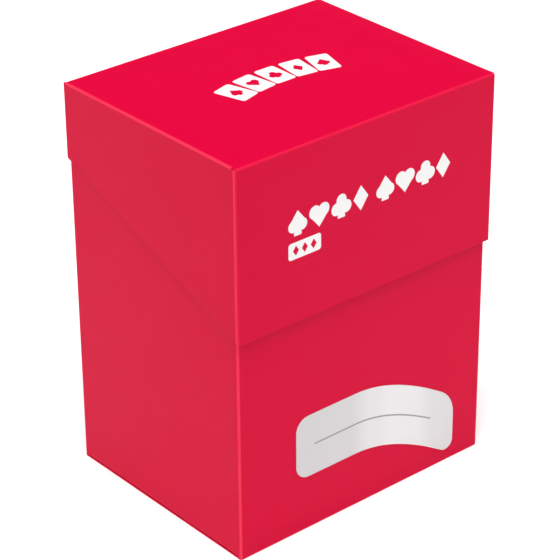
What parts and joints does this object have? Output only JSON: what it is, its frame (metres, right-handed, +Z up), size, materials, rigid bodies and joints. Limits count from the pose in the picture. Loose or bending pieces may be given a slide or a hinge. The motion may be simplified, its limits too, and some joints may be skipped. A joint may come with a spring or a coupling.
{
  "type": "card deck box",
  "caption": "Upright folding deck box for playing cards, creased from plastic sheet, with a deep hinged lid cut slantwise at its sides, a label for writing on and a loose divider.",
  "frame": {"origin": "under the middle of the closed box, on the surface that it stands on", "axes": "+Z up along the box's height, -Y towards the front with the label, +X to the right as seen from the front"},
  "size_m": [0.075, 0.0594, 0.0975],
  "materials": {
    "red_sheet": "satin polypropylene sheet with a fine grain, paler along its creases",
    "label_film": "satin white label film with a thin grey writing line",
    "divider_sheet": "satin polypropylene sheet with cut edges"
  },
  "bodies": {
    "case": {"front_panel": "red_sheet", "back_panel": "red_sheet", "left_side_panel": "red_sheet", "right_side_panel": "red_sheet", "seam_glue_flap": "red_sheet", "bottom_panel": "red_sheet", "bottom_glue_flap": "red_sheet", "left_dust_flap": "red_sheet", "right_dust_flap": "red_sheet", "living_hinge": "red_sheet", "writable_label": "label_film"},
    "lid": {"lid_top_panel": "red_sheet", "lid_front_flap": "red_sheet", "lid_left_side_panel": "red_sheet", "lid_right_side_panel": "red_sheet", "lid_left_corner_tab": "red_sheet", "lid_right_corner_tab": "red_sheet"},
    "divider": {"card_divider": "divider_sheet"}
  },
  "joints": [
    {"name": "lid_hinge", "type": "hinge", "parent": "case", "child": "lid", "pos_m": [0, 0.0295, 0.09735], "axis": [-1, 0, 0], "range_deg": [0, 220], "deforming": ["living_hinge"]},
    {"name": "divider_slide", "type": "slide", "parent": "case", "child": "divider", "axis": [0, -1, 0], "range_m": [0, 0.055]}
  ]
}
